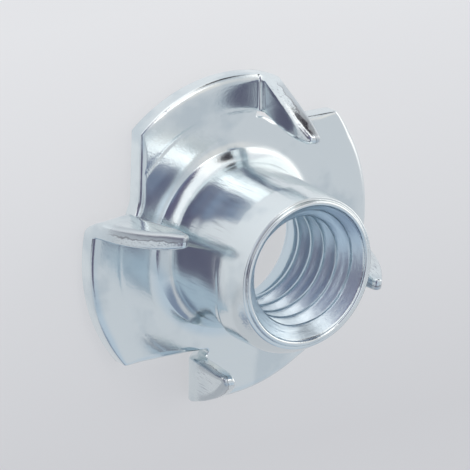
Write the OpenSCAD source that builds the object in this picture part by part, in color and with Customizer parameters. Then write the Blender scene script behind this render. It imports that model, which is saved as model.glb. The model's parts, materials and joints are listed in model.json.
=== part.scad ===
// Four-prong tee nut, drawn and folded from one round blank of sheet steel.
// The flange's back face lies on z = 0, centred on the origin. The barrel and the prongs point up, along +Z.

/* [Flange] */
// Diameter of the round blank, and so of the flange across its rim
flange_d = 25.4; // [23:0.1:32]
// Thickness of the sheet
sheet_t = 1.4; // [1:0.05:1.7]
// Radius rolled over the front edge of the blank when it is punched out
front_edge_r = 0.4; // [0.1:0.05:0.6]
// Radius left on the back edge of the blank
back_edge_r = 0.15; // [0.05:0.05:0.3]

/* [Press ring] */
// Diameter of the fine ring that the press pad marks on the front face
press_ring_d = 19.6; // [17.6:0.1:20.4]
// Width of that ring
press_ring_w = 0.3; // [0.2:0.05:0.5]
// Depth of that ring
press_ring_depth = 0.06; // [0.03:0.01:0.1]

/* [Barrel] */
// Outside diameter of the barrel between its root and its collar
barrel_d = 11.8; // [11.3:0.1:12.2]
// Height from the flange's back face to the barrel's mouth
overall_h = 11.1; // [9.5:0.1:16]
// Radius of the draw bend where the barrel leaves the flange's front face
root_r = 1.6; // [0.6:0.05:1.8]
// Outside diameter of the collar that is upset round the mouth end
collar_d = 12.3; // [12.3:0.05:13]
// Height of the collar, from its shoulder's top to the mouth
collar_h = 3.1; // [2.6:0.1:4]
// Height over which the collar's nose closes in
nose_h = 1.7; // [1:0.1:2.4]
// Radius of the barrel's outside at the mouth
mouth_r = 5.7; // [5.5:0.05:6]

/* [Thread] */
// Major diameter of the thread
thread_d = 9.525; // [8.5:0.005:10]
// Pitch of the thread
thread_pitch = 1.5875; // [1:0.0005:1.8]
// Diameter of the countersink at the mouth
countersink_d = 10.2; // [9.6:0.05:10.6]
// Included angle of the countersink and of the lead-in at the back
countersink_angle = 90; // [60:5:120]

/* [Prongs] */
// Number of prongs, evenly spaced round the rim
prong_count = 4; // [3:1:6]
// Distance of each prong's straight edge from the barrel's axis
prong_reach = 8.6; // [8:0.1:9.4]
// Distance of each prong's outer face from the plane through the axis
fold_offset = 3.65; // [3:0.05:4.4]
// Inside radius of each prong's fold
fold_r = 0.35; // [0.2:0.05:0.8]
// Radius of each prong's blunt tip
tip_r = 0.45; // [0.2:0.05:0.6]

/* [Hidden] */
$fn = 96;
// Overlap that carries a cutter past the face it cuts, and the root of a prong into the flange
past = 1;
// Depth in the sheet, as a share of its thickness, at which a fold keeps its length
neutral_share = 0.33;

flange_r = flange_d / 2;
barrel_r = barrel_d / 2;
collar_r = collar_d / 2;
// A tapped bore is drilled to the major diameter less one pitch
bore_r = (thread_d - thread_pitch) / 2;
countersink_r = countersink_d / 2;
countersink_rise = tan(countersink_angle / 2);
countersink_h = (countersink_r - bore_r) / countersink_rise;
// The draw bend turns both faces of the sheet about one centre
root_centre = [barrel_r + root_r, sheet_t + root_r];
drawn_bore_r = barrel_r - sheet_t;
lead_in_h = (drawn_bore_r - bore_r) / countersink_rise;
// The collar's shoulder slopes at 45 degrees
collar_foot_z = overall_h - collar_h - (collar_r - barrel_r);
// The nose is an arc that leaves the collar's side without a corner
nose_draw_in = collar_r - mouth_r;
nose_arc_r = (nose_h * nose_h + nose_draw_in * nose_draw_in) / (2 * nose_draw_in);
// A fold starts one outside radius short of the prong's outer face
fold_outer_r = fold_r + sheet_t;
fold_start = fold_offset - fold_outer_r;
fold_length = PI / 2 * (fold_r + neutral_share * sheet_t);
// In the plane of a prong, the fold carries the blank's centre to this point
rim_centre = [0, fold_outer_r - fold_start - fold_length];
// Centre of the arc that blunts the corner between a prong's straight edge and the rim
tip_rise = sqrt(pow(flange_r - tip_r, 2) - pow(prong_reach + tip_r, 2));
tip_centre = rim_centre + [prong_reach + tip_r, tip_rise];

// Half section of the flat blank, with its two edge radii
module blank_section() {
    square([flange_r - front_edge_r, sheet_t]);
    square([flange_r - back_edge_r, sheet_t - front_edge_r]);
    translate([0, back_edge_r])
        square([flange_r, sheet_t - front_edge_r - back_edge_r]);
    translate([flange_r - front_edge_r, sheet_t - front_edge_r])
        circle(front_edge_r);
    translate([flange_r - back_edge_r, back_edge_r])
        circle(back_edge_r);
}

// Half section of the drawn barrel: the web under the draw bend, the wall, the collar and its nose
module barrel_section() {
    difference() {
        square([root_centre[0], root_centre[1]]);
        translate(root_centre)
            circle(root_r);
        translate([root_centre[0], sheet_t])
            square([past, root_r + past]);
    }
    polygon([
        [0, 0],
        [barrel_r, 0],
        [barrel_r, collar_foot_z],
        [collar_r, overall_h - collar_h],
        [collar_r, overall_h - nose_h],
        [0, overall_h - nose_h]
    ]);
    intersection() {
        translate([0, overall_h - nose_h])
            square([collar_r, nose_h]);
        translate([collar_r - nose_arc_r, overall_h - nose_h])
            circle(nose_arc_r, $fn = 2 * $fn);
    }
}

// Half section of everything that the bore takes away, from the back face to the mouth
module bore_section() {
    translate([0, -past])
        square([bore_r, overall_h + 2 * past]);
    // Rounded entry at the back, where the sheet turns up into the barrel wall
    difference() {
        translate([0, -past])
            square([root_centre[0], root_centre[1] + past]);
        translate(root_centre)
            circle(root_r + sheet_t);
    }
    // Lead-in from the drawn wall to the tapped bore
    polygon([
        [0, root_centre[1]],
        [drawn_bore_r, root_centre[1]],
        [bore_r, root_centre[1] + lead_in_h],
        [0, root_centre[1] + lead_in_h]
    ]);
    // Countersink at the mouth
    polygon([
        [0, overall_h + past],
        [countersink_r + past * countersink_rise, overall_h + past],
        [bore_r, overall_h - countersink_h],
        [0, overall_h - countersink_h]
    ]);
}

// Fine ring marked on the front face
module press_ring_section() {
    translate([press_ring_d / 2 - press_ring_w / 2, sheet_t - press_ring_depth])
        square([press_ring_w, press_ring_depth + past]);
}

// Flange, barrel and tapped bore, all round the axis
module drawn_shell() {
    rotate_extrude() {
        difference() {
            union() {
                blank_section();
                barrel_section();
            }
            bore_section();
            press_ring_section();
        }
    }
}

// Section of the sheet through a fold's quarter turn
module turn_section() {
    translate([fold_outer_r, fold_outer_r])
        intersection() {
            difference() {
                circle(fold_outer_r);
                circle(fold_r);
            }
            translate([-fold_outer_r, -fold_outer_r])
                square(fold_outer_r);
        }
}

// Section of the straight sheet above the fold
module blade_section() {
    translate([0, fold_outer_r])
        square([sheet_t, flange_r]);
}

// Section of the flat sheet that runs on from the fold into the flange
module root_section() {
    translate([fold_outer_r, 0])
        square([past, sheet_t]);
}

// Carries a section across a fold out along the fold, by the given width
module along_fold(width) {
    translate([0, -fold_offset, 0])
        rotate([90, 0, 90])
            linear_extrude(width)
                children();
}

// Outline of one prong seen square to its face, with the blank's rim as its curved edge
module prong_outline() {
    difference() {
        intersection() {
            translate(rim_centre)
                circle(flange_r);
            translate([prong_reach, 0])
                square(flange_r);
        }
        // What the rounded tip leaves off, between the straight edge and the line from the rim's centre
        difference() {
            polygon([
                tip_centre,
                2 * tip_centre - rim_centre,
                [0, 2 * tip_centre[1] - rim_centre[1]],
                [0, tip_centre[1]]
            ]);
            translate(tip_centre)
                circle(tip_r);
        }
    }
}

// One prong: a length of folded sheet, trimmed to the prong's outline and rooted in the flange
module prong() {
    intersection() {
        along_fold(flange_r) {
            turn_section();
            blade_section();
        }
        translate([0, -fold_start, 0])
            rotate([90, 0, 0])
                linear_extrude(flange_r)
                    prong_outline();
    }
    translate([prong_reach, 0, 0])
        along_fold(flange_r - prong_reach - past) {
            turn_section();
            root_section();
        }
}

// The opening that one prong leaves in the flange
module prong_notch() {
    translate([prong_reach, -fold_start - flange_r, -past])
        cube([flange_r, flange_r, sheet_t + 2 * past]);
}

// The whole nut: flange and barrel, less the four openings, with the sheet from each standing beside it
module tee_nut() {
    color("lightsteelblue") {
        difference() {
            drawn_shell();
            for (i = [0 : prong_count - 1])
                rotate(i * 360 / prong_count)
                    prong_notch();
        }
        for (i = [0 : prong_count - 1])
            rotate(i * 360 / prong_count)
                prong();
    }
}

tee_nut();
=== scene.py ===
"""A four-prong tee nut of zinc plated pressed steel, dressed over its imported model.

The nut is one piece of sheet steel, so it is one closed mesh. The mesh is built as the nut is made: an
outline is cut from a round blank, its edges are rolled by the punch, a prong is folded up beside each
opening, and the barrel is drawn from the middle and tapped. All lengths are millimetres until the mesh is
written, in metres.
"""

import json
import logging
import math
from dataclasses import dataclass, field
from enum import Enum

import bpy
import numpy as np
from mathutils import Matrix, Vector


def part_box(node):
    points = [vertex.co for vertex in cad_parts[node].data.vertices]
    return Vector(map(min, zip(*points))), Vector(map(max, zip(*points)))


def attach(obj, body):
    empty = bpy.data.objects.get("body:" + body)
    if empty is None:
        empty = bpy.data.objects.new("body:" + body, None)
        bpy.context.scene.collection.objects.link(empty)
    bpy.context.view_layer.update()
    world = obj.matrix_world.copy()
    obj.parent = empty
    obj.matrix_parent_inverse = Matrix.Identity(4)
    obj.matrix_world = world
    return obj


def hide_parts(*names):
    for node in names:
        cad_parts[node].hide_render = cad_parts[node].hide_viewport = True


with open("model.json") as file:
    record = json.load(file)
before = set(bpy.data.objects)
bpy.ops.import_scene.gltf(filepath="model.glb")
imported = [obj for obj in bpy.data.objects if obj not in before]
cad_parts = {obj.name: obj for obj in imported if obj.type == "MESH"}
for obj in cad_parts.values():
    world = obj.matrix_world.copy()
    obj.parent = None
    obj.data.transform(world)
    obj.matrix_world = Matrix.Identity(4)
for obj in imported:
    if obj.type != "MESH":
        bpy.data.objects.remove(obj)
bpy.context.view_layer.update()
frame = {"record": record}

LOG = logging.getLogger("tee_nut")
MM = 0.001
QUADRANTS = 4
# Columns of the edge's section that lie on the front face and on the back face
FRONT, BACK = 0, -1
# Heights and radii closer than this, in millimetres, count as the same
NEAR = 0.01
# Name of the attribute that holds each edge point's height in the sheet
SHEET_DEPTH = "sheet_depth"


def arc(start: float, end: float, count: int) -> np.ndarray:
    """Angles in radians from start to end degrees in count steps, both ends included."""
    return np.radians(np.linspace(start, end, count + 1))


def polar(centre: tuple[float, float], radius: float, angles: np.ndarray) -> np.ndarray:
    """Points at the given angles on a circle: centre + radius (cos, sin).

    Args:
        centre: Centre of the circle.
        radius: Its radius.
        angles: Angles in radians.

    Returns:
        An (n, 2) array of points.
    """
    return np.stack([centre[0] + radius * np.cos(angles), centre[1] + radius * np.sin(angles)], axis=1)


def blend(first: np.ndarray | float, last: np.ndarray | float, share: np.ndarray | float) -> np.ndarray:
    """What lies the given share of the way from first to last: first + (last - first) share."""
    return first + (last - first) * share


def smooth_step(low: float, high: float, value: np.ndarray) -> np.ndarray:
    """Rises from 0 at low to 1 at high along the cubic 3t^2 - 2t^3."""
    t = np.clip((value - low) / (high - low), 0.0, 1.0)
    return t * t * (3.0 - 2.0 * t)


def bump(centre: float, half_width: float, value: np.ndarray) -> np.ndarray:
    """A bell of height 1 at centre that falls to 0 at half_width either side: (1 - d^2)^2."""
    d = np.clip((value - centre) / half_width, -1.0, 1.0)
    return (1.0 - d * d) ** 2


def off(azimuth: np.ndarray, middle: float) -> np.ndarray:
    """How far each azimuth is from a middle one, in degrees from -180 to 180."""
    return (azimuth - middle + 180.0) % 360.0 - 180.0


def direction(azimuth: float, elevation: float) -> Vector:
    """Direction of an azimuth and an elevation in degrees: (cos e cos a, cos e sin a, sin e)."""
    az, el = math.radians(azimuth), math.radians(elevation)
    return Vector((math.cos(el) * math.cos(az), math.cos(el) * math.sin(az), math.sin(el)))


def turn_quadrant(points: np.ndarray, quadrant: int) -> np.ndarray:
    """Turns points about +Z by whole quarter turns, by exchanging x and y, so that shared points stay equal.

    Args:
        points: An array whose last axis is x, y, z.
        quadrant: How many quarter turns, anticlockwise.

    Returns:
        The turned points.
    """
    turned = points.copy()
    for _ in range(quadrant):
        turned[..., 0], turned[..., 1] = -turned[..., 1], turned[..., 0].copy()
    return turned


class Zone(Enum):
    """What made a stretch of the surface, which decides its finish."""

    PRESSED = "pressed"
    SHEARED = "sheared"
    TAPPED = "tapped"


class MeshDraft:
    """Collects points and triangles of one closed surface, patch by patch. Patches share a seam's points."""

    def __init__(self) -> None:
        """Starts empty."""
        self.points: list[np.ndarray] = []
        self.triangles: list[np.ndarray] = []
        # One value at each point for each zone, and one for the height in the sheet
        self.values: dict[str, list[np.ndarray]] = {zone.value: [] for zone in Zone} | {SHEET_DEPTH: []}
        self.count = 0

    def add_points(self, points: np.ndarray, zone: Zone, depth: np.ndarray | None = None) -> np.ndarray:
        """Adds points and returns their numbers.

        Args:
            points: An array whose last axis is x, y, z in millimetres.
            zone: What made this stretch of the surface.
            depth: Height of each point in the sheet as a share of its thickness, where that matters.

        Returns:
            An integer array with the shape of points, less its last axis.
        """
        flat = points.reshape(-1, 3)
        numbers = self.count + np.arange(len(flat))
        self.points.append(flat)
        for name, parts in self.values.items():
            parts.append(np.full(len(flat), float(name == zone.value)))
        if depth is not None:
            self.values[SHEET_DEPTH][-1] = depth.ravel()
        self.count += len(flat)
        return numbers.reshape(points.shape[:-1])

    def add_grid(self, numbers: np.ndarray, closed: bool = False, flip: bool = False) -> None:
        """Joins a grid of point numbers into triangles, less those that have shrunk to a line or a point.

        Args:
            numbers: A 2-D array of point numbers.
            closed: Whether the last column joins the first.
            flip: Whether the faces look the other way.
        """
        if closed:
            numbers = np.concatenate([numbers, numbers[:, :1]], axis=1)
        a, b = numbers[:-1, :-1].ravel(), numbers[:-1, 1:].ravel()
        c, d = numbers[1:, 1:].ravel(), numbers[1:, :-1].ravel()
        made = np.concatenate([np.stack([a, b, c], axis=1), np.stack([a, c, d], axis=1)])
        whole = (made[:, 0] != made[:, 1]) & (made[:, 1] != made[:, 2]) & (made[:, 2] != made[:, 0])
        made = made[whole]
        self.triangles.append(made[:, ::-1] if flip else made)

    def all_points(self) -> np.ndarray:
        """Every point so far, in millimetres, as an (n, 3) array."""
        return np.concatenate(self.points)

    def build(self, name: str, points: np.ndarray) -> bpy.types.Object:
        """Writes the mesh, smooth shaded, with the values at its points as attributes.

        Args:
            name: Name of the new object.
            points: The final places of all points, in millimetres.

        Returns:
            The object, at the origin.
        """
        mesh = bpy.data.meshes.new(name)
        mesh.from_pydata((points * MM).tolist(), [], np.concatenate(self.triangles).tolist())
        mesh.shade_smooth()
        for label, parts in self.values.items():
            attribute = mesh.attributes.new(label, "FLOAT", "POINT")
            attribute.data.foreach_set("value", np.concatenate(parts).astype(np.float32))
        return add_object(name, mesh)


@dataclass
class Blank:
    """The round blank with its four slits, flat on z = 0, and the roll of its edges."""

    rim_r: float
    thickness: float = 1.4
    # How deep the punch drags each front edge over, and how much wider than deep the drag is
    rim_roll: float = 0.42
    slit_roll: float = 0.36
    corner_roll: float = 0.18
    end_roll: float = 0.12
    roll_spread: float = 1.5
    back_roll: float = 0.14
    # A prong's edges are rolled on both faces from here on, because it is wiped by the die as it folds
    prong_roll: float = 0.3
    prong_spread: float = 1.2
    wiped_from: float = 2.5
    # A slit's roll grows over this length from the corner, and fades over this stretch before the slit's end
    grows_over: float = 1.5
    fades_over: tuple[float, float] = (1.6, 0.1)
    # Each slit runs in from the rim beside the prong's straight edge, and opens where the fold starts
    slit_x: float = 8.6
    slit_half: float = 0.08
    end_half: float = 0.2
    fold_y: float = -1.9
    fold_length: float = 1.75
    # Near the fold each slit veers out towards the rim by this much, so that the prong's root doesn't tear
    veers: tuple[float, ...] = (0.7, 0.1, 0.6, 0.8)
    veer_y: float = -4.3
    corner_r: float = 0.3
    tip_r: float = 0.42
    # Steps along one quarter of the outline, stretch by stretch
    rim_steps: int = 44
    corner_steps: int = 5
    slit_steps: int = 24
    end_steps: int = 6
    fold_rows: int = 17
    blade_rows: int = 22
    tip_steps: int = 12
    across_steps: int = 8
    fade_steps: int = 9
    # Steps down the edge: front roll, straight, back roll
    roll_steps: int = 5
    side_steps: int = 4
    back_steps: int = 3

    def __post_init__(self) -> None:
        """Works out where the outline's arcs are centred."""
        corner_x = self.slit_x - self.slit_half - self.corner_r
        self.corner_centre = (corner_x, -math.sqrt((self.rim_r - self.corner_r) ** 2 - corner_x**2))
        tip_x = self.slit_x + self.slit_half + self.tip_r
        self.tip_centre = (tip_x, -math.sqrt((self.rim_r - self.tip_r) ** 2 - tip_x**2))

    def prong_rows(self) -> np.ndarray:
        """The rows across a prong, from the slit's end to the tip's centre, closest together in the fold.

        Returns:
            The y of each row.
        """
        fold_end = self.fold_y - self.fold_length
        start = self.fold_y - self.end_half
        fold = np.linspace(start, fold_end, self.fold_rows + 1)
        blade = np.linspace(fold_end, self.tip_centre[1], self.blade_rows + 1)
        return np.concatenate([fold, blade[1:]])

    def stretches(self, quadrant: int) -> dict[str, np.ndarray]:
        """The outline of one quarter, anticlockwise, as stretches of points with their outward normals.

        A stretch is an (n, 4) array of x, y and the normal's x, y. It leaves out its last point, which
        starts the next one. The stretches run from the lobe's corner, in along the slit, round its end, out
        along the prong's straight edge, round the tip, back along the prong's rim, and along the next
        lobe's rim.

        Args:
            quadrant: Which quarter.

        Returns:
            The stretches by name, in order.
        """
        end_centre = (self.slit_x + self.veers[quadrant], self.fold_y - self.end_half)
        corner_start = math.degrees(math.atan2(self.corner_centre[1], self.corner_centre[0]))
        tip_end = 360.0 + math.degrees(math.atan2(self.tip_centre[1], self.tip_centre[0]))
        tip_mid = (180.0 + tip_end) / 2
        fold_angle = math.degrees(math.asin(self.fold_y / self.rim_r))

        def on_arc(
            centre: tuple[float, float], radius: float, angles: np.ndarray, side: float = 1.0
        ) -> np.ndarray:
            """Points and normals on an arc, with the metal inside it, or outside it where side is -1."""
            return np.concatenate([polar(centre, radius, angles), side * polar((0, 0), 1, angles)], axis=1)

        def on_slit(ys: np.ndarray, from_y: float, side: float) -> np.ndarray:
            """Points and normals along one side of a slit, which veers and opens on a cubic.

            Args:
                ys: The y of each point.
                from_y: Where the slit starts to veer and open.
                side: 1 for the lobe's side, -1 for the prong's.

            Returns:
                An (n, 4) array.
            """
            share = smooth_step(from_y, end_centre[1], ys)
            half = blend(self.slit_half, self.end_half, share)
            xs = self.slit_x + self.veers[quadrant] * share - side * half
            slope = np.gradient(xs, ys)
            size = np.hypot(1.0, slope)
            return np.stack([xs, ys, side / size, -side * slope / size], axis=1)

        corner = on_arc(self.corner_centre, self.corner_r, arc(corner_start, 0, self.corner_steps))
        slit_rows = np.linspace(self.corner_centre[1], end_centre[1], self.slit_steps + 1)
        slit_in = on_slit(slit_rows, self.veer_y, 1.0)
        rows = self.prong_rows()
        rim_end_y = self.rim_r * math.sin(math.radians(tip_end))
        rim_rows = blend(self.fold_y, rim_end_y, (rows - rows[0]) / (rows[-1] - rows[0]))
        # The prong's rim has a point for each point on its straight side, those round the slit's end included
        beside_end = np.linspace(self.fold_y, rim_rows[1], self.end_steps + 2)[:-1]
        rim_angles = np.arcsin(np.concatenate([beside_end, rim_rows[1:]]) / self.rim_r)
        next_corner = 90.0 + corner_start
        return {
            "corner": corner[:-1],
            "slit_in": slit_in[:-1],
            "end_in": on_arc(end_centre, self.end_half, arc(180, 90, self.end_steps), -1.0)[:-1],
            "end_out": on_arc(end_centre, self.end_half, arc(90, 0, self.end_steps), -1.0)[:-1],
            "slit_out": on_slit(rows, self.tip_centre[1], -1.0)[:-1],
            "tip_out": on_arc(self.tip_centre, self.tip_r, arc(180, tip_mid, self.tip_steps // 2))[:-1],
            "tip_in": on_arc(self.tip_centre, self.tip_r, arc(tip_mid, tip_end, self.tip_steps // 2))[:-1],
            "prong_rim": on_arc((0, 0), self.rim_r, rim_angles[::-1])[:-1],
            "lobe_rim": on_arc((0, 0), self.rim_r, arc(fold_angle, next_corner, self.rim_steps))[:-1],
        }

    def rolls(self, stretches: dict[str, np.ndarray]) -> np.ndarray:
        """How far each edge is rolled over, at each point of one quarter, eased where it changes.

        Args:
            stretches: One quarter of the outline.

        Returns:
            The front roll's depth, the front roll's width and the back roll, as an (n, 3) array.
        """
        found = []
        for name, points in stretches.items():
            y = points[:, 1]
            on_rim = name in ("prong_rim", "lobe_rim")
            start = np.full(len(points), self.rim_roll if on_rim else self.end_roll)
            if name == "corner":
                start[:] = self.corner_roll
            if name == "lobe_rim":
                start[-self.fade_steps :] = np.linspace(self.rim_roll, self.corner_roll, self.fade_steps)
            if name == "slit_in":
                from_corner = smooth_step(0.0, self.grows_over, y - self.corner_centre[1])
                first, last = self.fades_over
                to_end = smooth_step(-first, -last, y - self.fold_y + self.end_half)
                start = blend(blend(self.corner_roll, self.slit_roll, from_corner), self.end_roll, to_end)
            on_prong = name in ("slit_out", "tip_out", "tip_in", "prong_rim")
            share = on_prong * smooth_step(0.0, self.wiped_from, self.fold_y - y)
            front = blend(start, self.prong_roll, share)
            width = front * blend(self.roll_spread, self.prong_spread, share)
            found.append(np.stack([front, width, blend(self.back_roll, self.prong_roll, share)], axis=1))
        return np.concatenate(found)


@dataclass(frozen=True)
class Bend:
    """How the press has left one prong: no two are quite alike."""

    # Turn in degrees at the straight side, and how much more at the rim
    turn: float
    twist: float = 0.0
    # Lean towards the axis, in millimetres for each millimetre of height
    inward: float = 0.0
    # Curl of the tip back over the opening, in millimetres for each square millimetre of height
    curl: float = 0.0
    # How far the fold runs off line at the rim, back over the flange
    skew: float = 0.0
    # How far the wiping die has drawn the prong out, as a share of its height
    drawn: float = 1.05


@dataclass
class Fold:
    """How the sheet beside each slit is folded up into a prong."""

    blank: Blank
    inside_r: float = 0.35
    neutral_share: float = 0.33
    bends: tuple[Bend, ...] = (
        Bend(turn=95.0, inward=0.13, curl=0.010, skew=0.42, drawn=1.0),
        Bend(turn=79.0, twist=16.0, inward=0.0, drawn=0.95),
        Bend(turn=84.0, inward=-0.05, drawn=1.06),
        Bend(turn=100.0, inward=0.05, curl=0.034, skew=0.15, drawn=1.02),
    )
    # The tip is pinched to this share of the sheet's thickness, over this much of its height
    tip_share: float = 0.7
    tip_from: float = 4.0
    tip_to: float = 5.7
    # The sheet is stretched thinner by this share halfway round the fold
    thinned: float = 0.12
    # A prong's skew comes in over this length of the fold
    skewed_over: float = 1.2

    def apply(self, points: np.ndarray, quadrant: int) -> np.ndarray:
        """Folds flat points up about the fold line, in the prong's own quarter.

        A point s beyond the fold's start goes round the fold's centre by s over the neutral radius, up to the
        prong's turn, and then runs straight on along the turned sheet, by a rise h. There it leans in by the
        lean times h and curls back by the curl times h squared. At the rim it is set back by the skew.

        Args:
            points: An (..., 3) array in the prong's own quarter, with z as the height in the sheet.
            quadrant: Which prong it is.

        Returns:
            The folded points. Those before the fold are exactly as they were.
        """
        t, bend = self.blank.thickness, self.bends[quadrant]
        neutral = self.inside_r + self.neutral_share * t
        inner_x, outer_x = self.blank.slit_x, self.blank.rim_r
        across = np.clip((points[..., 0] - inner_x) / (outer_x - inner_x), 0.0, 1.0)
        full = np.radians(bend.turn + bend.twist * across)
        s = self.blank.fold_y - points[..., 1]
        angle = np.clip(s / neutral, 0.0, full)
        rise = bend.drawn * np.maximum(s - neutral * full, 0.0)
        pinch = blend(1.0, self.tip_share, smooth_step(self.tip_from, self.tip_to, rise))
        below = (t - points[..., 2]) * (1.0 - self.thinned * np.sin(np.pi * angle / full) ** 2)
        reach = self.inside_r + t / 2 + (below - t / 2) * pinch
        folded = points.copy()
        folded[..., 0] = points[..., 0] - bend.inward * rise
        out = reach * np.sin(angle) + rise * np.cos(angle) + bend.curl * rise**2
        folded[..., 1] = self.blank.fold_y - out + bend.skew * across * smooth_step(0.0, self.skewed_over, s)
        folded[..., 2] = t + self.inside_r - reach * np.cos(angle) + rise * np.sin(angle)
        return np.where((s > 0)[..., None], folded, points)


@dataclass
class Barrel:
    """The drawn barrel, its collar, its nose and its bore, as one half section."""

    height: float
    sheet: float = 1.4
    outer_r: float = 5.9
    root_r: float = 1.6
    # Outside, the wall leaves the crease on a wide arc, closes to a tight one, and tapers to its own radius
    foot_r: float = 2.6
    foot_angles: tuple[float, float] = (50.0, 25.0)
    heel_r: float = 1.2
    heel_end: float = 4.0
    collar_r: float = 6.15
    mouth_r: float = 5.7
    nose_h: float = 1.7
    collar_h: float = 3.1
    countersink_r: float = 5.2
    # How far the countersink closes in for each millimetre of depth, and how far above its end the thread is
    sink_slope: float = 1.0
    thread_clear: float = 0.02
    # The mouth is pressed to a low bead, as high as this, with a groove outside it
    lip_h: float = 0.16
    groove_w: float = 0.22
    groove_depth: float = 0.2
    # The groove is open on this side only, and closes this many degrees either way
    groove_azimuth: float = -50.0
    groove_span: float = 110.0
    # The section starts this far out on the flange, and the web starts to rise from it a little further in
    start_r: float = 8.4
    web_r: float = 8.0
    # The draw die's edge leaves a crease in the draw bend, this far out and this far above the flange
    crease_r: float = 7.05
    crease_h: float = 0.18
    # The collar is upset a little off the bore's axis, this way and this far
    bulge_azimuth: float = 60.6
    bulge: float = 0.45
    # Depths below the mouth at which the bulge starts, is full, starts to fade and has gone
    bulge_depths: tuple[float, float, float, float] = (6.7, 3.6, 1.3, 0.1)
    # Its shoulder stands higher away from the bulge and lower on it, this far round and this far up and down
    shoulder_rise: float = 0.3
    shoulder_drop: float = 1.25
    shoulder_span: float = 60.0
    shoulder_reach: float = 3.0
    # On one side it has no step: the wall goes straight up to a foot, and tapers from there to the mouth
    plain_azimuth: float = -70.0
    plain_from: float = 50.0
    plain_to: float = 95.0
    plain_low_r: float = 6.14
    plain_low_z: float = 4.4
    plain_blend: float = 0.6
    plain_foot_r: float = 6.02
    plain_foot_h: float = 2.65
    # The barrel's outside starts between these radii
    skin_r: tuple[float, float] = (5.2, 5.6)
    # Steps along the half section, and over the bead
    web_steps: int = 16
    foot_steps: int = 20
    heel_steps: int = 12
    wall_steps: int = 25
    collar_steps: int = 9
    nose_steps: int = 12
    bead_steps: int = 12

    def outside(self) -> np.ndarray:
        """The half section from the flange's front face to the mouth's inner edge.

        Returns:
            An (n, 2) array of radius and height.
        """
        t, h = self.sheet, self.height
        start, turn = self.foot_angles
        crease = np.array([self.crease_r, t + self.crease_h])
        foot = polar((0, 0), self.foot_r, arc(180 + start, 180 + turn, self.foot_steps))
        foot += crease - foot[0]
        heel = polar((0, 0), self.heel_r, arc(180 + turn, 180 + self.heel_end, self.heel_steps))
        heel += foot[-1] - heel[0]
        # Outside the crease the web comes up to it on a parabola
        web_r = np.linspace(self.start_r, self.crease_r, self.web_steps + 1)
        rise = np.clip((self.web_r - web_r) / (self.web_r - self.crease_r), 0.0, 1.0)
        web = np.stack([web_r, t + self.crease_h * rise**2], axis=1)
        shoulder = h - self.collar_h - (self.collar_r - self.outer_r)
        wall = np.linspace(heel[-1], (self.outer_r, shoulder), self.wall_steps + 1)
        collar_ends = (self.collar_r, h - self.collar_h), (self.collar_r, h - self.nose_h)
        collar = np.linspace(*collar_ends, self.collar_steps + 1)
        nose_r = self.nose_radius()
        nose_end = math.degrees(math.asin((self.nose_h - self.lip_h) / nose_r))
        nose = polar((self.collar_r - nose_r, h - self.nose_h), nose_r, arc(0, nose_end, self.nose_steps))
        # The bead is half an ellipse
        groove = (nose[-1, 0] - self.groove_w / 2, h - self.lip_h - self.groove_depth)
        bead_r = nose[-1, 0] - self.groove_w
        mid, half = (bead_r + self.countersink_r) / 2, (bead_r - self.countersink_r) / 2
        over = arc(0, 180, self.bead_steps)
        bead = np.stack([mid + half * np.cos(over), h - self.lip_h * (1 - np.sin(over))], axis=1)
        return np.concatenate([web, foot[1:], heel[1:], wall[1:], collar, nose[1:], [groove], bead])

    def nose_radius(self) -> float:
        """Radius of the nose's arc, which rises by h and draws in by d: (h^2 + d^2) / 2d."""
        draw_in = self.collar_r - self.mouth_r
        return (self.nose_h**2 + draw_in**2) / (2 * draw_in)

    def plain_wall(self, r: np.ndarray, z: np.ndarray) -> np.ndarray:
        """Radius of the wall on the side without a step: straight to the foot, then straight to the nose.

        Args:
            r: Radii in the half section.
            z: Heights of the same points.

        Returns:
            The radii on the plain side. Points inside the nose's end keep theirs.
        """
        nose_r = self.nose_radius()
        end_r = self.collar_r - nose_r + math.sqrt(nose_r**2 - (self.nose_h - self.lip_h) ** 2)
        foot_z, end_z = self.height - self.plain_foot_h, self.height - self.lip_h
        lower = (z - self.plain_low_z) / (foot_z - self.plain_low_z)
        upper = (z - foot_z) / (end_z - foot_z)
        below = blend(self.plain_low_r, self.plain_foot_r, lower)
        plain = np.where(z < foot_z, below, blend(self.plain_foot_r, end_r, upper))
        low, high = self.plain_low_z - self.plain_blend, self.plain_low_z + self.plain_blend
        return blend(r, plain, smooth_step(low, high, z) * (r > end_r - NEAR))

    def settle(self, points: np.ndarray) -> np.ndarray:
        """Moves the barrel's outside off its axis, by the bulge times a share of the height.

        The share also falls with the cosine of the azimuth from the bulge, to nothing a quarter turn away.
        The collar's shoulder is lifted by its rise, less its drop times a bell of the azimuth about the
        bulge, all times a bell of the height. On its plain side the collar has no step.

        Args:
            points: All points of the nut, in millimetres.

        Returns:
            The points in their final places.
        """
        x, y, z = points[:, 0], points[:, 1], points[:, 2]
        r, azimuth = np.hypot(x, y), np.degrees(np.arctan2(y, x))
        h, way = self.height, math.radians(self.bulge_azimuth)
        outside = smooth_step(*self.skin_r, r) * (r < self.start_r)
        toward = off(azimuth, self.bulge_azimuth)
        starts, full, fades, gone = (h - depth for depth in self.bulge_depths)
        share = smooth_step(starts, full, z) * (1.0 - smooth_step(fades, gone, z)) * outside
        share *= np.maximum(np.cos(np.radians(toward)), 0.0)
        plain = 1.0 - smooth_step(self.plain_from, self.plain_to, np.abs(off(azimuth, self.plain_azimuth)))
        drop = self.shoulder_drop * bump(0.0, self.shoulder_span, toward)
        lift = (self.shoulder_rise - drop) * (1.0 - plain)
        pull = plain * outside * (self.plain_wall(r, z) / np.maximum(r, 1.0) - 1.0)
        settled = points.copy()
        settled[:, 0] += self.bulge * share * math.cos(way) + pull * x
        settled[:, 1] += self.bulge * share * math.sin(way) + pull * y
        settled[:, 2] += lift * bump(h - self.collar_h, self.shoulder_reach, z) * outside
        return settled

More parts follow.
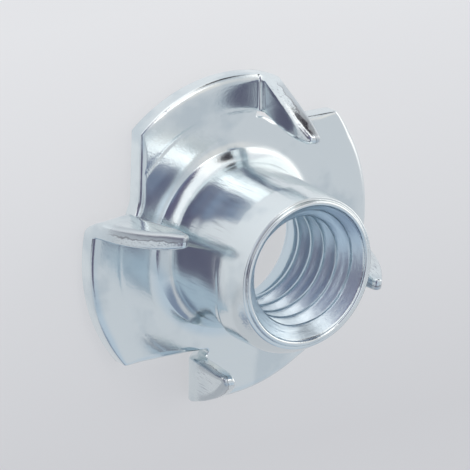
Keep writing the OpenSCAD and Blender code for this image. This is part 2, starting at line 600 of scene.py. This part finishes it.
    def mouth_of(self, radius: float) -> float:
        """Height at which the countersink has the given radius, and a hair above."""
        return self.height - self.lip_h - (self.countersink_r - radius) / self.sink_slope + self.thread_clear

    def bore_radius(self, z: np.ndarray) -> np.ndarray:
        """Radius of the plain bore at each height: countersink, tapping bore, lead-in and back flare.

        The flare is the back of the draw bend, so it shares the bend's centre c:
        r = c_r - sqrt(R^2 - (c_z - z)^2).

        Args:
            z: Heights in millimetres.

        Returns:
            One radius for each height.
        """
        centre_r, centre_z = self.outer_r + self.root_r, self.sheet + self.root_r
        bend_r = self.root_r + self.sheet
        below = np.clip(centre_z - z, 0.0, bend_r)
        flare = centre_r - np.sqrt(bend_r**2 - below**2)
        lead_in = np.where(z > centre_z, centre_r - bend_r - (z - centre_z), flare)
        countersink = self.countersink_r - self.sink_slope * (self.height - self.lip_h - z)
        return np.maximum(lead_in, countersink)


@dataclass
class TappedThread:
    """A right-hand thread cut in the bore. A height along the axis gives one radius at each angle."""

    barrel: Barrel
    minor_r: float
    major_r: float = 4.7625
    pitch: float = 1.5875
    # Flat at the crest and at the root, and how far a flank's ends are eased, as shares of the pitch
    crest_share: float = 0.22
    root_share: float = 0.16
    rounding: float = 0.09
    rows_per_pitch: int = 14
    # Height at which the thread starts, and where its crests stand, in pitches
    bottom_z: float = 1.45
    phase: float = 0.785
    # The rows keep this far from the rings that close them
    clear: float = 0.03

    def radius(self, turns: np.ndarray) -> np.ndarray:
        """Radius at a place across the thread, counted in pitches from the middle of a crest.

        A flank rises evenly from crest to root, and its ends are eased by a cubic.

        Args:
            turns: Places across the thread, in pitches.

        Returns:
            One radius for each place.
        """
        across = np.abs((turns + 0.5) % 1.0 - 0.5)
        low, high = self.crest_share / 2 - self.rounding, 0.5 - self.root_share / 2 + self.rounding
        flank = smooth_step(low, high, across)
        return blend(self.minor_r, self.major_r, flank)

    def add(self, draft: MeshDraft, angles: np.ndarray, top: np.ndarray, bottom: np.ndarray) -> None:
        """Adds the tapped wall between two rings. Its rows climb with the helix, and stop at the rings.

        Args:
            draft: The mesh so far.
            angles: Angle of each column, in radians, rising through one turn.
            top: Point numbers of the ring at the mouth end.
            bottom: Point numbers of the ring at the back.
        """
        top_z = self.barrel.mouth_of(self.major_r)
        # A closing column, one turn on, repeats the first column's rings
        turned = np.append(angles, angles[0] + 2 * math.pi) / (2 * math.pi)
        low = math.floor((self.bottom_z / self.pitch) - turned[-1]) - 1
        high = math.ceil(top_z / self.pitch - turned[0]) + 1
        rows = np.arange((high - low) * self.rows_per_pitch + 1) / self.rows_per_pitch + low
        z = (rows[:, None] + turned[None, :]) * self.pitch
        inside = (z > self.bottom_z + self.clear) & (z < top_z - self.clear)
        cut = self.radius(np.broadcast_to(rows[:, None] + self.phase, z.shape))
        r = np.maximum(cut, self.barrel.bore_radius(z))
        wrapped = np.append(angles, angles[0])
        points = np.stack([r * np.cos(wrapped), r * np.sin(wrapped), z], axis=2)
        numbers = np.where(z >= top_z - self.clear, np.append(top, top[:1]), np.append(bottom, bottom[:1]))
        own = inside.copy()
        own[:, -1] = False
        numbers[own] = draft.add_points(points[own], Zone.TAPPED)
        # One turn on, a row meets the row one pitch above it at the first column
        shift = self.rows_per_pitch
        closing = np.full(len(rows), -1)
        closing[: len(rows) - shift] = numbers[shift:, 0]
        numbers[:, -1] = np.where(inside[:, -1], closing, numbers[:, -1])
        draft.add_grid(numbers[: len(rows) - shift][::-1])
        LOG.info("thread: %d rows by %d columns", len(rows), len(angles))


@dataclass
class PressRing:
    """The fine ring that the press pad marks on the flange's front, off centre, and deepest on one side."""

    # Its radius, and how far and which way it is off centre
    radius: float = 9.8
    offset: float = 0.4
    offset_azimuth: float = -20.0
    # Half its width, its depth on the deep side and elsewhere, and how far round the deep side reaches
    half_width: float = 0.2
    depth: float = 0.055
    least_depth: float = 0.01
    deep_azimuth: float = -44.0
    deep_span: float = 26.0

    def mark(self, points: np.ndarray, top: float) -> np.ndarray:
        """Lowers the front face along the ring, by its depth times a bell of the distance from the ring.

        Args:
            points: All points of the nut, in millimetres.
            top: Height of the flange's front face.

        Returns:
            The points, with the ring marked.
        """
        x, y, z = points[:, 0], points[:, 1], points[:, 2]
        azimuth = np.degrees(np.arctan2(y, x))
        ring = self.radius + self.offset * np.cos(np.radians(off(azimuth, self.offset_azimuth)))
        near_deep = bump(0.0, self.deep_span, off(azimuth, self.deep_azimuth))
        deep = blend(self.least_depth, self.depth, near_deep)
        marked = points.copy()
        marked[:, 2] -= deep * bump(0.0, self.half_width, np.hypot(x, y) - ring) * (np.abs(z - top) < NEAR)
        return marked


@dataclass
class TeeNut:
    """The whole nut as one closed surface: edges, both faces, four prongs, barrel and tapped bore."""

    blank: Blank
    fold: Fold
    barrel: Barrel
    thread: TappedThread
    ring: PressRing = field(default_factory=PressRing)
    # Rows of triangles across the flange's front and back, down the countersink and down the back flare
    front_rows: int = 32
    back_rows: int = 8
    sink_rows: int = 3
    flare_rows: int = 11
    draft: MeshDraft = field(default_factory=MeshDraft)
    # Each quarter's edge before folding, its point numbers, and where each stretch starts in it
    flat_edges: list[np.ndarray] = field(default_factory=list)
    edges: list[np.ndarray] = field(default_factory=list)
    at: dict[str, int] = field(default_factory=dict)
    # Point numbers along each fold's start, by quarter and by face
    seams: dict[tuple[int, int], np.ndarray] = field(default_factory=dict)

    def edge_points(self, quadrant: int) -> np.ndarray:
        """Carries the edge's section along one quarter of the outline, still flat, and notes its stretches.

        The section leaves the front face on a quarter ellipse of the front roll, goes straight down the
        sheet, and turns under on a quarter circle of the back roll. Its depth is measured inwards.

        Args:
            quadrant: Which quarter.

        Returns:
            An (n, k, 3) array.
        """
        blank = self.blank
        t = blank.thickness
        stretches = blank.stretches(quadrant)
        quarter, rolls = np.concatenate(list(stretches.values())), blank.rolls(stretches)
        self.at = dict(zip(stretches, np.cumsum([0, *map(len, stretches.values())]).tolist()))
        over = arc(0, 90, blank.roll_steps)
        under = arc(0, 90, blank.back_steps)
        front, width, back = rolls[:, :1], rolls[:, 1:2], rolls[:, 2:]
        side = np.linspace(0, 1, blank.side_steps + 1)[None, 1:-1]
        straight = blend(t - front, back, side)
        depths = width * (1 - np.sin(over)), np.zeros_like(straight), back * (1 - np.cos(under))
        heights = t - front * (1 - np.cos(over)), straight, back * (1 - np.sin(under))
        depth, height = np.concatenate(depths, axis=1), np.concatenate(heights, axis=1)
        x = quarter[:, None, 0] - depth * quarter[:, None, 2]
        y = quarter[:, None, 1] - depth * quarter[:, None, 3]
        return np.stack([x, y, height], axis=2)

    def build(self) -> bpy.types.Object:
        """Adds every patch and writes the mesh.

        Returns:
            The nut's object.
        """
        draft = self.draft
        for q in range(QUADRANTS):
            flat = self.edge_points(q)
            made = flat.copy()
            on_prong = slice(self.at["end_out"], self.at["lobe_rim"])
            made[on_prong] = self.fold.apply(made[on_prong], q)
            depth = flat[..., 2] / self.blank.thickness
            self.flat_edges.append(flat)
            self.edges.append(draft.add_points(turn_quadrant(made, q), Zone.SHEARED, depth))
        draft.add_grid(np.concatenate(self.edges).T, closed=True, flip=True)
        front_loop, back_loop = self.face_loop(FRONT), self.face_loop(BACK)
        for q in range(QUADRANTS):
            for column in (FRONT, BACK):
                self.add_prong_face(q, column)
        self.add_flange_and_barrel(front_loop, back_loop)
        settled = self.barrel.settle(draft.all_points())
        return draft.build("tee_nut_dressed", self.ring.mark(settled, self.blank.thickness))

    def seam(self, quadrant: int, column: int) -> np.ndarray:
        """Point numbers along a fold's start, from the slit's end out to the rim, made when first asked for.

        Args:
            quadrant: Which quarter.
            column: Which face.

        Returns:
            The point numbers.
        """
        if (quadrant, column) not in self.seams:
            ends = self.edges[quadrant][[self.at["end_out"], self.at["lobe_rim"]], column]
            places = self.draft.all_points()[ends]
            share = np.linspace(0, 1, self.blank.across_steps + 1)[1:-1, None]
            numbers = self.draft.add_points(blend(places[0], places[1], share), Zone.PRESSED)
            self.seams[quadrant, column] = np.concatenate([ends[:1], numbers, ends[1:]])
        return self.seams[quadrant, column]

    def face_loop(self, column: int) -> np.ndarray:
        """The loop round the flat flange on one face, across the start of each fold, anticlockwise.

        Args:
            column: Which face.

        Returns:
            The point numbers.
        """
        loop = []
        for q, edge in enumerate(self.edges):
            loop.append(edge[: self.at["end_out"], column])
            loop.append(self.seam(q, column)[:-1])
            loop.append(edge[self.at["lobe_rim"] :, column])
        return np.concatenate(loop)

    def add_prong_face(self, quadrant: int, column: int) -> None:
        """Adds one broad face of a prong, as straight rows from its straight side to its rim.

        Args:
            quadrant: Which prong.
            column: Which face.
        """
        edge, flat_edge = self.edges[quadrant], self.flat_edges[quadrant]
        left = np.arange(self.at["end_out"], self.at["tip_in"] + 1)
        right = np.arange(self.at["lobe_rim"], self.at["tip_in"] - 1, -1)
        share = np.linspace(0, 1, self.blank.across_steps + 1)[None, 1:-1, None]
        sides = left[1:-1, None], right[1:-1, None]
        a, b = (flat_edge[side, column] for side in sides)
        inner = turn_quadrant(self.fold.apply(blend(a, b, share), quadrant), quadrant)
        numbers = self.draft.add_points(inner, Zone.PRESSED)
        rows = np.concatenate([edge[sides[0], column], numbers, edge[sides[1], column]], axis=1)
        tip = np.full((1, rows.shape[1]), edge[left[-1], column])
        seam = self.seam(quadrant, column)[None]
        self.draft.add_grid(np.concatenate([seam, rows, tip]), flip=column == FRONT)

    def add_flange_and_barrel(self, front_loop: np.ndarray, back_loop: np.ndarray) -> None:
        """Adds both faces of the flange, the barrel and the bore, on the front loop's columns round the axis.

        Args:
            front_loop: Point numbers of the front face's outer loop.
            back_loop: Point numbers of the back face's outer loop.
        """
        draft, barrel = self.draft, self.barrel
        loop = draft.all_points()[front_loop]
        angles = np.unwrap(np.arctan2(loop[:, 1], loop[:, 0]))
        cos, sin = np.cos(angles), np.sin(angles)

        def ring(radius: np.ndarray, z: np.ndarray) -> np.ndarray:
            """Points of rings round the axis, one ring to each radius and height."""
            r, h = radius[:, None], np.broadcast_to(z[:, None], (len(z), len(cos)))
            return np.stack([r * cos, r * sin, h], axis=2)

        section = barrel.outside()
        places = ring(section[:, 0], section[:, 1])
        # The groove's bottom is the ring before the bead's
        closed = 1.0 - bump(0.0, barrel.groove_span, off(np.degrees(angles), barrel.groove_azimuth))
        places[-barrel.bead_steps - 2, :, 2] += barrel.groove_depth * closed
        outer = draft.add_points(places, Zone.PRESSED)
        draft.add_grid(outer, closed=True)
        self.add_face(front_loop, outer[0], self.front_rows)
        top_z = barrel.mouth_of(self.thread.major_r)
        sink_z = np.linspace(barrel.height - barrel.lip_h, top_z, self.sink_rows + 1)[1:]
        sink = draft.add_points(ring(barrel.bore_radius(sink_z), sink_z), Zone.TAPPED)
        draft.add_grid(np.concatenate([outer[-1:], sink]), closed=True)
        flare_z = np.linspace(self.thread.bottom_z, 0, self.flare_rows + 1)
        flare = draft.add_points(ring(barrel.bore_radius(flare_z), flare_z), Zone.PRESSED)
        draft.add_grid(flare, closed=True)
        self.thread.add(draft, angles, sink[-1], flare[0])
        self.add_face(flare[-1], back_loop, self.back_rows)

    def add_face(self, first: np.ndarray, last: np.ndarray, rows: int) -> None:
        """Adds a face between two loops of point numbers, in rows spaced evenly along straight lines.

        Args:
            first: The loop that the face starts from.
            last: The loop that it ends on.
            rows: How many rows of triangles it has.
        """
        places = self.draft.all_points()
        share = np.linspace(0, 1, rows + 1)[1:-1, None, None]
        between = self.draft.add_points(blend(places[first], places[last], share), Zone.PRESSED)
        self.draft.add_grid(np.concatenate([first[None], between, last[None]]), closed=True)


def add_object(name: str, data: bpy.types.ID) -> bpy.types.Object:
    """Adds an object for a mesh or a camera to the scene, at the origin.

    Args:
        name: Its name.
        data: The mesh or camera.

    Returns:
        The object.
    """
    made = bpy.data.objects.new(name, data)
    bpy.context.scene.collection.objects.link(made)
    return made


def linear(hex_colour: str) -> tuple[float, float, float, float]:
    """Turns an sRGB hex colour such as "#c8d0d4" into linear values.

    Args:
        hex_colour: The colour, with its leading "#".

    Returns:
        Red, green and blue, and an alpha of 1.
    """
    shares = [int(hex_colour[at : at + 2], 16) / 255 for at in (1, 3, 5)]
    linear_shares = [c / 12.92 if c <= 0.04045 else ((c + 0.055) / 1.055) ** 2.4 for c in shares]
    return (*linear_shares, 1.0)


def add_node(
    tree: bpy.types.NodeTree, kind: str, inputs: dict | None = None, **settings: object
) -> bpy.types.NodeOutputs:
    """Adds a shader node with its settings, its values and its links.

    Args:
        tree: The node tree.
        kind: The node's type, less the word ShaderNode that every type starts with.
        inputs: Value or output socket for each input, by name or number.
        settings: The node's own properties.

    Returns:
        The node's outputs.
    """
    node = tree.nodes.new(f"ShaderNode{kind}")
    for name, value in settings.items():
        setattr(node, name, value)
    for name, value in (inputs or {}).items():
        if isinstance(value, bpy.types.NodeSocket):
            tree.links.new(value, node.inputs[name])
        else:
            node.inputs[name].default_value = value
    return node.outputs


def empty_tree(owner: bpy.types.Material | bpy.types.World) -> bpy.types.NodeTree:
    """Empties the node tree of a material or a world.

    Args:
        owner: The material or the world.

    Returns:
        Its node tree.
    """
    owner.use_nodes = True
    owner.node_tree.nodes.clear()
    return owner.node_tree


@dataclass(frozen=True)
class ZincPlatedSteel:
    """Bright blue-white zinc plate on pressed steel.

    The plate is thin and even, so the eye sees a clear but soft reflection with a cool cast. It is broken by
    the fine grain of the sheet, by faint clouds in the passivation and by die marks that run up the barrel
    and the prongs. The sheared edges are burnished near the front and torn and duller below a ragged line,
    and the tapped bore is duller than the rest.
    """

    plate: str = "#e2eaed"
    cloud: str = "#cad6dd"
    torn: str = "#cbd3d8"
    tear_line: str = "#8a8a90"
    tapped: str = "#dae9f2"
    die_mark: str = "#a7adb9"
    roughness: float = 0.16
    torn_roughness: float = 0.34
    tapped_roughness: float = 0.35
    marked_more: float = 0.12
    # The tear wanders by this share of the sheet's thickness. Counted with that, the edge is burnished above
    # the first of these heights and torn below the second, and its line darkens between the last two
    ragged_share: float = 0.5
    torn_between: tuple[float, float] = (0.74, 0.68)
    line_between: tuple[float, float] = (0.62, 0.7)
    # Heights in millimetres over which the marks of drawing come in, grow strong, and stop at the collar
    over_bend: tuple[float, float] = (2.2, 3.2)
    drawn: tuple[float, float] = (2.2, 4.2)
    under_collar: tuple[float, float] = (8.6, 7.2)
    # How strongly the relief tilts the surface, and its height in millimetres
    relief: float = 0.2
    relief_height: float = 0.03

    def masks(self, tree: bpy.types.NodeTree) -> dict[str, bpy.types.NodeSocket]:
        """Adds the patterns that break up the plate, and says where each of them shows.

        Args:
            tree: The material's node tree.

        Returns:
            The value of each pattern and each mask, by name.
        """
        place = add_node(tree, "TexCoord")["Object"]
        height = add_node(tree, "SeparateXYZ", {"Vector": place})["Z"]
        found = {
            name: add_node(tree, "Attribute", attribute_name=name)["Fac"]
            for name in (Zone.SHEARED.value, Zone.TAPPED.value, SHEET_DEPTH)
        }
        # Lumps to a millimetre, their detail, and how much closer they stand along each axis. Real grain, die
        # marks and tool marks are finer, too fine to show, so that these are as coarse as it takes to show
        even = (1.0, 1.0, 1.0)
        for name, per_mm, detail, closer in (
            ("cloudy", 0.26, 3.0, even),
            ("streaky", 9.0, 3.0, (1.0, 1.0, 0.03)),
            ("drawing", 2.4, 3.0, (1.0, 1.0, 0.08)),
            ("ragged", 1.5, 3.0, even),
            ("grain", 7.5, 2.0, even),
            ("tearing", 2.6, 4.0, even),
            ("turning", 6.0, 3.0, (0.12, 0.12, 1.0)),
        ):
            at = add_node(tree, "Mapping", {"Vector": place, "Scale": closer})["Vector"]
            noise = add_node(tree, "TexNoise", {"Vector": at, "Scale": per_mm / MM, "Detail": detail})
            found[name] = noise["Fac"]
        wandering = {0: found["ragged"], 1: self.ragged_share, 2: found[SHEET_DEPTH]}
        ragged = add_node(tree, "Math", wandering, operation="MULTIPLY_ADD")["Value"]
        # Each mask rises smoothly from 0 at one value to its most at another
        for name, value, low, high, most in (
            ("clouds", found["cloudy"], 0.5, 0.68, 0.7),
            ("streaks", found["streaky"], 0.52, 0.76, 0.7),
            ("over_bend", height, *(h * MM for h in self.over_bend), 1.0),
            ("drawn", height, *(h * MM for h in self.drawn), 2.6),
            ("turned", found["tapped"], 0.0, 1.0, 5.0),
            ("under_collar", height, *(h * MM for h in self.under_collar), 1.0),
            ("below_tear", ragged, *self.torn_between, 1.0),
            ("at_tear", ragged, *self.line_between, 0.8),
        ):
            rise = {"Value": value, "From Min": low, "From Max": high, "To Max": most}
            mask = add_node(tree, "MapRange", rise, interpolation_type="SMOOTHSTEP")
            found[name] = mask["Result"]
        for name, first, second in (
            ("marks", "streaks", "over_bend"),
            ("marks", "marks", "under_collar"),
            ("torn", "below_tear", "sheared"),
            ("torn", "torn", "over_bend"),
            ("line", "at_tear", "torn"),
        ):
            both = add_node(tree, "Math", {0: found[first], 1: found[second]}, operation="MULTIPLY")
            found[name] = both["Value"]
        return found

    def material(self) -> bpy.types.Material:
        """Builds the node material.

        Returns:
            The material.
        """
        material = bpy.data.materials.new("zinc_plated_steel")
        tree = empty_tree(material)
        masks = self.masks(tree)
        colour = linear(self.plate)
        for name, over in (
            ("clouds", self.cloud),
            ("marks", self.die_mark),
            ("torn", self.torn),
            ("line", self.tear_line),
            ("tapped", self.tapped),
        ):
            laid = {0: masks[name], 6: colour, 7: linear(over)}
            colour = add_node(tree, "Mix", laid, data_type="RGBA")[2]
        # Roughness and relief are sums, each term a mask times its strength
        rough, bumps = self.roughness, masks["grain"]
        for name, more in (
            ("torn", self.torn_roughness - self.roughness),
            ("tapped", self.tapped_roughness - self.roughness),
            ("marks", self.marked_more),
        ):
            term = {0: masks[name], 1: more, 2: rough}
            rough = add_node(tree, "Math", term, operation="MULTIPLY_ADD")["Value"]
        for name, pattern in (("torn", "tearing"), ("turned", "turning"), ("drawn", "drawing")):
            term = {0: masks[name], 1: masks[pattern], 2: bumps}
            bumps = add_node(tree, "Math", term, operation="MULTIPLY_ADD")["Value"]
        tilt = {"Height": bumps, "Strength": self.relief, "Distance": self.relief_height * MM}
        normal = add_node(tree, "Bump", tilt)["Normal"]
        metal = {"Base Color": colour, "Metallic": 1.0, "Roughness": rough, "Normal": normal}
        surface = add_node(tree, "BsdfPrincipled", metal)["BSDF"]
        add_node(tree, "OutputMaterial", {"Surface": surface})
        return material


@dataclass(frozen=True)
class Panel:
    """A soft round panel in the tent, by azimuth and elevation, with its radius and soft edge in degrees."""

    name: str
    azimuth: float
    elevation: float
    radius: float
    softness: float
    colour: str
    light: float


@dataclass
class Studio:
    """The floor, the sky and the camera."""

    # Where the camera stands, in millimetres, the direction back to it in degrees, and its roll
    camera_place: tuple[float, float, float] = (193.54, -109.38, 267.12)
    camera_azimuth: float = -29.40
    camera_elevation: float = 50.07
    camera_roll: float = 115.24
    # Focal length in widths of the frame
    focal_in_frames: float = 9.8347
    sensor: float = 36.0
    # The nearest and the farthest that it sees, in metres
    clip: tuple[float, float] = (0.01, 10.0)
    # The floor reaches this far from the middle and lies this far below the nut, in millimetres
    floor_half: float = 1500.0
    floor_drop: float = 0.02
    # Its paper is painted lit on the side that the tent's roof lights and painted dim towards the far side, a
    # painted shade over this far each way in y
    paper_lit: str = "#eeeff1"
    paper_dim: str = "#d6d7da"
    paper_span: float = 18.0
    # How much of the paper's own colour the eye sees, whatever falls on it, and how much a reflection sees
    paper_share: float = 0.7
    mirrored_share: float = 0.9
    # How bright a reflection sees it on the lit side and on the dim side, painted light that fades towards
    # the far side
    mirrored_light: float = 1.15
    mirrored_dim: float = 0.95
    tent: str = "#d8dade"
    tent_light: float = 1.0
    panels: tuple[Panel, ...] = (
        Panel("front_floor", 85.0, 25.0, 42.0, 30.0, "#c4d0dc", 1.0),
        Panel("front_shade", 78.0, 0.0, 26.0, 18.0, "#8793a8", 1.0),
        Panel("roof", -76.0, 4.0, 40.0, 8.0, "#fffcfa", 1.3),
        Panel("roof_end", -38.0, 6.0, 22.0, 8.0, "#fffcfa", 1.3),
        Panel("side", -162.0, 14.0, 28.0, 12.0, "#fffaf6", 1.5),
        Panel("room", -62.0, 48.0, 20.0, 7.0, "#716c85", 1.0),
        Panel("room_end", -33.0, 43.0, 21.0, 8.0, "#716c85", 1.0),
        Panel("top", -32.0, 80.0, 11.5, 10.0, "#f4f8ff", 1.1),
        *(Panel(f"bar_{n}", -78.0 + 9.0 * n, 49.5, 4.5, 4.0, "#a4b4cc", 1.0) for n in range(5)),
        Panel("lens", 2.0, 44.0, 13.0, 9.0, "#6b667c", 1.0),
        Panel("lens_side", 26.0, 48.0, 15.0, 9.0, "#6b667c", 1.0),
        Panel("lens_foot", -3.0, 17.0, 14.0, 8.0, "#5f5a6d", 1.0),
        Panel("key_middle", -137.0, 56.0, 11.0, 8.0, "#fff9f5", 0.95),
        Panel("key_end", -159.0, 59.0, 10.0, 8.0, "#fff9f5", 0.9),
        Panel("key_foot", -99.5, 46.0, 8.0, 7.0, "#fff9f5", 2.2),
        Panel("key", -114.5, 56.0, 8.0, 5.0, "#fff9f5", 2.2),
        Panel("slot", -116.0, 15.0, 13.0, 6.0, "#38323a", 1.0),
    )

    def camera(self) -> None:
        """Adds the camera, rolled so that the nut stands on its rim in the view, its barrel to the right."""
        data = bpy.data.cameras.new("camera")
        data.sensor_width = self.sensor
        data.lens = self.sensor * self.focal_in_frames
        data.clip_start, data.clip_end = self.clip
        camera = add_object("camera", data)
        back = direction(self.camera_azimuth, self.camera_elevation)
        level = (-back).to_track_quat("-Z", "Y").to_matrix()
        rolled = level @ Matrix.Rotation(math.radians(self.camera_roll), 3, "Z")
        camera.matrix_world = Matrix.Translation(Vector(self.camera_place) * MM) @ rolled.to_4x4()
        bpy.context.scene.camera = camera

    def floor(self) -> None:
        """Adds the floor just under the nut: pale matt paper with painted shade from lit to dim along y, a
        ground for the nut's soft shade.
        """
        half, drop = self.floor_half * MM, -self.floor_drop * MM
        corners = [(x * half, y * half, drop) for x, y in ((-1, -1), (1, -1), (1, 1), (-1, 1))]
        mesh = bpy.data.meshes.new("floor")
        mesh.from_pydata(corners, [], [(0, 1, 2, 3)])
        material = bpy.data.materials.new("pale_paper")
        tree = empty_tree(material)
        place = add_node(tree, "TexCoord")["Object"]
        along = add_node(tree, "SeparateXYZ", {"Vector": place})["Y"]
        # Painted shade: the paper's colour and its glow in reflections go from lit at -y to dim at +y
        span = self.paper_span * MM
        dims = {"Value": along, "From Min": -span, "From Max": span}
        dim = add_node(tree, "MapRange", dims)["Result"]
        tones = {0: dim, 6: linear(self.paper_lit), 7: linear(self.paper_dim)}
        paper = add_node(tree, "Mix", tones, data_type="RGBA")[2]
        shader = add_node(tree, "BsdfDiffuse", {"Color": paper})["BSDF"]
        rays = add_node(tree, "LightPath")
        fall = {0: dim, 1: self.mirrored_dim - self.mirrored_light, 2: self.mirrored_light}
        mirrored = add_node(tree, "Math", fall, operation="MULTIPLY_ADD")["Value"]
        for ray, part, strength in (
            ("Is Camera Ray", self.paper_share, 1.0),
            ("Is Glossy Ray", self.mirrored_share, mirrored),
        ):
            own = add_node(tree, "Emission", {"Color": paper, "Strength": strength})["Emission"]
            share = add_node(tree, "Math", {0: rays[ray], 1: part}, operation="MULTIPLY")["Value"]
            shader = add_node(tree, "MixShader", {0: share, 1: shader, 2: own})["Shader"]
        add_node(tree, "OutputMaterial", {"Surface": shader})
        mesh.materials.append(material)
        floor = add_object("floor", mesh)

    def sky(self) -> None:
        """Sets the world: a pale tent with soft panels in it, each a cap of its own colour about a direction.

        The share of a panel at a direction d is a cubic step of the angle between d and the panel's middle,
        from 1 inside its edge to 0 outside it. The panels are laid over the tent in order.
        """
        world = bpy.data.worlds.new("studio")
        bpy.context.scene.world = world
        tree = empty_tree(world)
        toward = add_node(tree, "TexCoord")["Generated"]
        seen = tuple(self.tent_light * c for c in linear(self.tent)[:3])
        for panel in self.panels:
            both = {0: toward, 1: direction(panel.azimuth, panel.elevation)}
            cosine = add_node(tree, "VectorMath", both, operation="DOT_PRODUCT")["Value"]
            angle = add_node(tree, "Math", {0: cosine}, operation="ARCCOSINE")["Value"]
            edge = [math.radians(panel.radius + half * panel.softness) for half in (0.5, -0.5)]
            rise = {"Value": angle, "From Min": edge[0], "From Max": edge[1]}
            share = add_node(tree, "MapRange", rise, interpolation_type="SMOOTHSTEP")["Result"]
            light = tuple(panel.light * c for c in linear(panel.colour)[:3])
            laid = {0: share, 4: seen, 5: light}
            seen = add_node(tree, "Mix", laid, data_type="VECTOR", label=panel.name)[1]
        sky = add_node(tree, "Background", {"Color": seen, "Strength": 1.0})["Background"]
        add_node(tree, "OutputWorld", {"Surface": sky})


def main() -> None:
    """Builds the nut, its finish and the studio, and logs the nut's size in triangles."""
    logging.basicConfig(level=logging.INFO, format="%(name)s: %(message)s")
    _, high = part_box("tee_nut")
    blank = Blank(rim_r=high.x / MM)
    barrel = Barrel(height=high.z / MM)
    hole = next(m for m in frame["record"]["mounts"] if m["name"] == "thread")
    thread = TappedThread(barrel=barrel, minor_r=hole["dims"]["r_mm"])
    nut = TeeNut(blank, Fold(blank), barrel, thread).build()
    LOG.info("%s: %d triangles", nut.name, len(nut.data.polygons))
    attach(nut, "root")
    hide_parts("tee_nut")
    nut.data.materials.append(ZincPlatedSteel().material())
    studio = Studio()
    studio.camera()
    studio.floor()
    studio.sky()
    scene = bpy.context.scene
    scene.view_settings.view_transform = "Standard"


if __name__ == "__main__":
    main()
